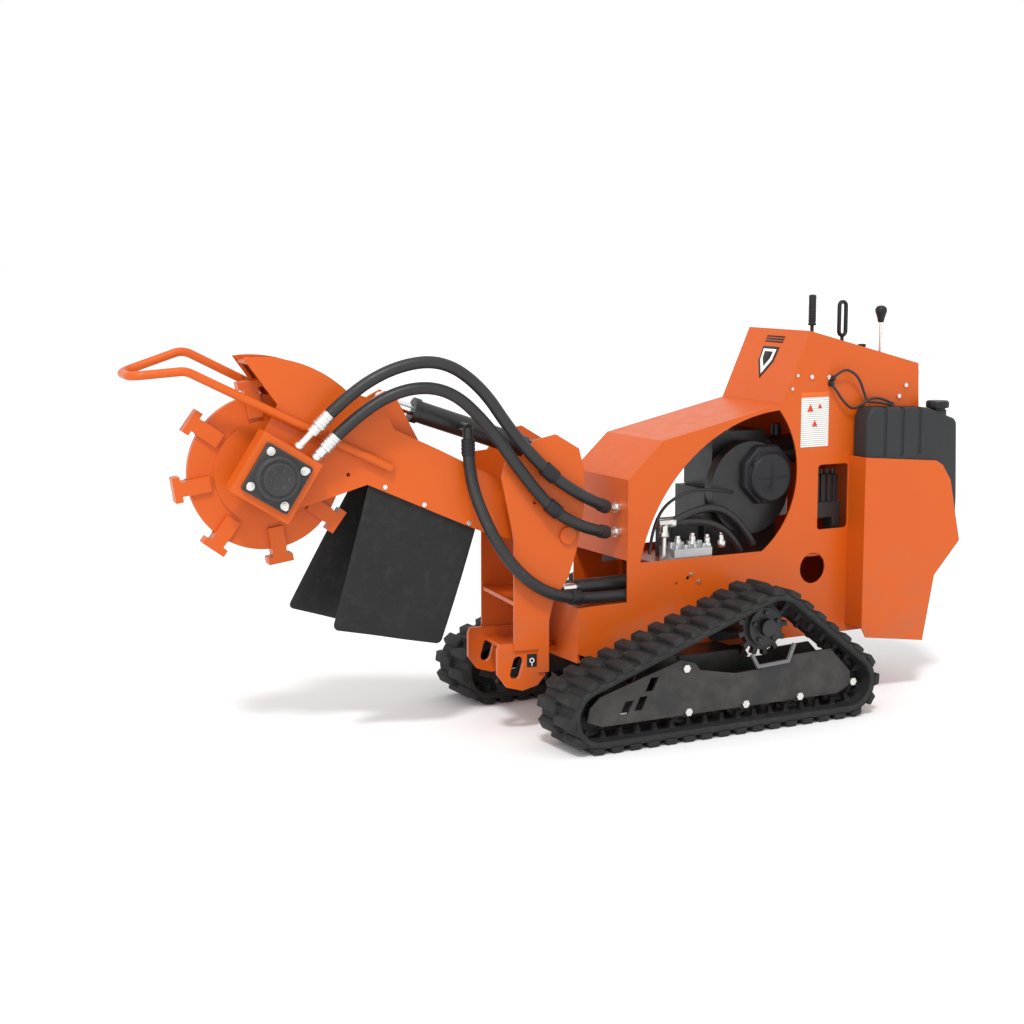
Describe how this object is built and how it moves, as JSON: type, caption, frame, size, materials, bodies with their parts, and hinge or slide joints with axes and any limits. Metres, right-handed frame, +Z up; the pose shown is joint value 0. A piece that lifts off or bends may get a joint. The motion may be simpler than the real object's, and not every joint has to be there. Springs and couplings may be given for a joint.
{
  "type": "stump grinder",
  "caption": "Tracked pedestrian stump grinder with a swinging, lifting hydraulic boom and toothed cutter disc, open-sided engine body, rubber tracks and console levers",
  "frame": {"origin": "on the ground, in the middle of the footprint of the two tracks", "axes": "+Z up, the cutter end towards -Y, the machine's left side towards +X; the boom rests swung 8 degrees towards -X and raised"},
  "size_m": [0.89, 2.7301, 1.3125],
  "materials": {
    "orange_paint": "gloss powder coat",
    "black_paint": "satin black paint",
    "track_rubber": "matt moulded rubber",
    "mat_rubber": "matt sheet rubber",
    "hose_rubber": "satin wrapped hydraulic hose",
    "tank_plastic": "textured rotomoulded plastic",
    "black_plastic": "satin moulded plastic",
    "zinc": "bright zinc plate",
    "chrome": "hard chrome",
    "alloy": "machined and cast",
    "cast_black": "painted casting",
    "grey_paint": "satin grey paint"
  },
  "bodies": {
    "chassis": {"chassis_frame": "orange_paint", "side_panel_left": "orange_paint", "side_panel_right": "orange_paint", "hood": "orange_paint", "console_shell": "orange_paint", "track_belt_left": "track_rubber", "track_belt_right": "track_rubber", "track_frame_left": "black_paint", "track_frame_right": "black_paint", "travel_motors": "black_paint", "sprocket_guards": "grey_paint", "tank_guard": "orange_paint", "fuel_tank": "tank_plastic", "hydraulic_tank": "black_paint", "engine": "black_paint", "air_cleaner": "black_plastic", "muffler": "black_paint", "hydraulic_pump": "cast_black", "valve_manifold": "alloy", "valve_bank": "black_paint", "lever_shafts": "zinc", "knee_pad": "track_rubber", "hinge_pin": "zinc", "hood_fittings": "zinc", "body_bolts": "zinc", "feed_hose": "hose_rubber", "return_hose": "hose_rubber", "drain_hose": "hose_rubber"},
    "mast": {"swing_mast": "orange_paint"},
    "boom": {"boom_arm": "orange_paint", "wheel_guard": "orange_paint", "guard_hoop": "orange_paint", "cutter_motor": "black_paint", "motor_fittings": "zinc", "boom_bolts": "zinc", "near_chip_mat": "mat_rubber", "far_chip_mat": "mat_rubber"},
    "cutter": {"cutter_disc": "orange_paint", "cutter_teeth": "orange_paint"},
    "lift_barrel": {"lift_barrel": "black_paint"},
    "lift_rod": {"lift_rod": "chrome"},
    "swing_barrel": {"swing_barrel": "black_paint"},
    "swing_rod": {"swing_rod": "chrome"},
    "grip_lever": {"grip_lever": "black_plastic"},
    "loop_lever": {"loop_lever": "black_plastic"},
    "knob_lever": {"knob_lever": "zinc"},
    "throttle_knob": {"throttle_knob": "black_plastic"},
    "fuel_cap": {"fuel_cap": "black_plastic"},
    "sprocket_left": {"sprocket_left": "black_paint"},
    "front_idler_left": {"front_idler_left": "cast_black"},
    "rear_idler_left": {"rear_idler_left": "cast_black"},
    "front_roller_left": {"front_roller_left": "cast_black"},
    "middle_roller_left": {"middle_roller_left": "cast_black"},
    "rear_roller_left": {"rear_roller_left": "cast_black"},
    "sprocket_right": {"sprocket_right": "black_paint"},
    "front_idler_right": {"front_idler_right": "cast_black"},
    "rear_idler_right": {"rear_idler_right": "cast_black"},
    "front_roller_right": {"front_roller_right": "cast_black"},
    "middle_roller_right": {"middle_roller_right": "cast_black"},
    "rear_roller_right": {"rear_roller_right": "cast_black"}
  },
  "joints": [
    {"name": "mast_swing", "type": "hinge", "parent": "chassis", "child": "mast", "pos_m": [0, -0.42, 0.3], "axis": [0, 0, 1], "range_deg": [-14, 30], "deforming": ["feed_hose", "return_hose", "drain_hose"]},
    {"name": "boom_lift", "type": "hinge", "parent": "mast", "child": "boom", "pos_m": [0.00431, -0.3893, 0.606], "axis": [0.9903, -0.1392, 0], "range_deg": [0, 50], "deforming": ["feed_hose", "return_hose", "drain_hose", "near_chip_mat", "far_chip_mat"]},
    {"name": "cutter_spin", "type": "hinge", "parent": "boom", "child": "cutter", "pos_m": [-0.11969, -1.27163, 0.82], "axis": [0.9903, -0.1392, 0], "continuous": true},
    {"name": "lift_barrel_swivel", "type": "hinge", "parent": "mast", "child": "lift_barrel", "pos_m": [-0.00278, -0.43981, 0.852], "axis": [0.9903, -0.1392, 0], "range_deg": [-0.5, 54]},
    {"name": "lift_rod_slide", "type": "slide", "parent": "lift_barrel", "child": "lift_rod", "axis": [-0.1315, -0.9355, 0.3281], "range_m": [-0.001, 0.213]},
    {"name": "swing_barrel_swivel", "type": "hinge", "parent": "chassis", "child": "swing_barrel", "pos_m": [0.08714, -0.06, 0.43], "axis": [0, 0, 1], "range_deg": [-1, 1]},
    {"name": "swing_rod_slide", "type": "slide", "parent": "swing_barrel", "child": "swing_rod", "axis": [0, -1, 0], "range_m": [-0.047, 0.023]},
    {"name": "sprocket_left_spin", "type": "hinge", "parent": "chassis", "child": "sprocket_left", "pos_m": [0.3425, 0.175, 0.306], "axis": [1, 0, 0], "continuous": true},
    {"name": "front_idler_left_spin", "type": "hinge", "parent": "chassis", "child": "front_idler_left", "pos_m": [0.3425, -0.456, 0.112], "axis": [1, 0, 0], "continuous": true},
    {"name": "rear_idler_left_spin", "type": "hinge", "parent": "chassis", "child": "rear_idler_left", "pos_m": [0.3425, 0.456, 0.112], "axis": [1, 0, 0], "continuous": true},
    {"name": "front_roller_left_spin", "type": "hinge", "parent": "chassis", "child": "front_roller_left", "pos_m": [0.3425, -0.135, 0.0835], "axis": [1, 0, 0], "continuous": true},
    {"name": "middle_roller_left_spin", "type": "hinge", "parent": "chassis", "child": "middle_roller_left", "pos_m": [0.3425, 0.074, 0.0835], "axis": [1, 0, 0], "continuous": true},
    {"name": "rear_roller_left_spin", "type": "hinge", "parent": "chassis", "child": "rear_roller_left", "pos_m": [0.3425, 0.279, 0.0835], "axis": [1, 0, 0], "continuous": true},
    {"name": "sprocket_right_spin", "type": "hinge", "parent": "chassis", "child": "sprocket_right", "pos_m": [-0.3425, 0.175, 0.306], "axis": [1, 0, 0], "continuous": true},
    {"name": "front_idler_right_spin", "type": "hinge", "parent": "chassis", "child": "front_idler_right", "pos_m": [-0.3425, -0.456, 0.112], "axis": [1, 0, 0], "continuous": true},
    {"name": "rear_idler_right_spin", "type": "hinge", "parent": "chassis", "child": "rear_idler_right", "pos_m": [-0.3425, 0.456, 0.112], "axis": [1, 0, 0], "continuous": true},
    {"name": "front_roller_right_spin", "type": "hinge", "parent": "chassis", "child": "front_roller_right", "pos_m": [-0.3425, -0.135, 0.0835], "axis": [1, 0, 0], "continuous": true},
    {"name": "middle_roller_right_spin", "type": "hinge", "parent": "chassis", "child": "middle_roller_right", "pos_m": [-0.3425, 0.074, 0.0835], "axis": [1, 0, 0], "continuous": true},
    {"name": "rear_roller_right_spin", "type": "hinge", "parent": "chassis", "child": "rear_roller_right", "pos_m": [-0.3425, 0.279, 0.0835], "axis": [1, 0, 0], "continuous": true},
    {"name": "grip_lever_tilt", "type": "hinge", "parent": "chassis", "child": "grip_lever", "pos_m": [0.06, 0.562, 1.12852], "axis": [1, 0, 0], "range_deg": [-18, 18], "stiffness_Nm_per_rad": 4},
    {"name": "loop_lever_tilt", "type": "hinge", "parent": "chassis", "child": "loop_lever", "pos_m": [0.06, 0.686, 1.09649], "axis": [1, 0, 0], "range_deg": [-18, 18], "stiffness_Nm_per_rad": 4},
    {"name": "knob_lever_tilt", "type": "hinge", "parent": "chassis", "child": "knob_lever", "pos_m": [0.06, 0.847, 1.05489], "axis": [1, 0, 0], "range_deg": [-18, 18]},
    {"name": "throttle_pull", "type": "slide", "parent": "chassis", "child": "throttle_knob", "axis": [0, 0, 1], "range_m": [0, 0.014]},
    {"name": "fuel_cap_turn", "type": "hinge", "parent": "chassis", "child": "fuel_cap", "pos_m": [0.207, 0.975, 0.95], "axis": [0, 0, 1], "range_deg": [0, 90]}
  ],
  "couplings": [
    {"joint": "lift_barrel_swivel", "follows": "boom_lift", "ratio": 1.07},
    {"joint": "lift_rod_slide", "follows": "boom_lift", "m_per_rad": 0.2429},
    {"joint": "swing_barrel_swivel", "follows": "mast_swing", "ratio": -0.02},
    {"joint": "swing_rod_slide", "follows": "mast_swing", "m_per_rad": -0.08714},
    {"joint": "front_idler_left_spin", "follows": "sprocket_left_spin", "ratio": 1.2703},
    {"joint": "rear_idler_left_spin", "follows": "sprocket_left_spin", "ratio": 1.2703},
    {"joint": "front_roller_left_spin", "follows": "sprocket_left_spin", "ratio": 2.0889},
    {"joint": "middle_roller_left_spin", "follows": "sprocket_left_spin", "ratio": 2.0889},
    {"joint": "rear_roller_left_spin", "follows": "sprocket_left_spin", "ratio": 2.0889},
    {"joint": "front_idler_right_spin", "follows": "sprocket_right_spin", "ratio": 1.2703},
    {"joint": "rear_idler_right_spin", "follows": "sprocket_right_spin", "ratio": 1.2703},
    {"joint": "front_roller_right_spin", "follows": "sprocket_right_spin", "ratio": 2.0889},
    {"joint": "middle_roller_right_spin", "follows": "sprocket_right_spin", "ratio": 2.0889},
    {"joint": "rear_roller_right_spin", "follows": "sprocket_right_spin", "ratio": 2.0889}
  ]
}
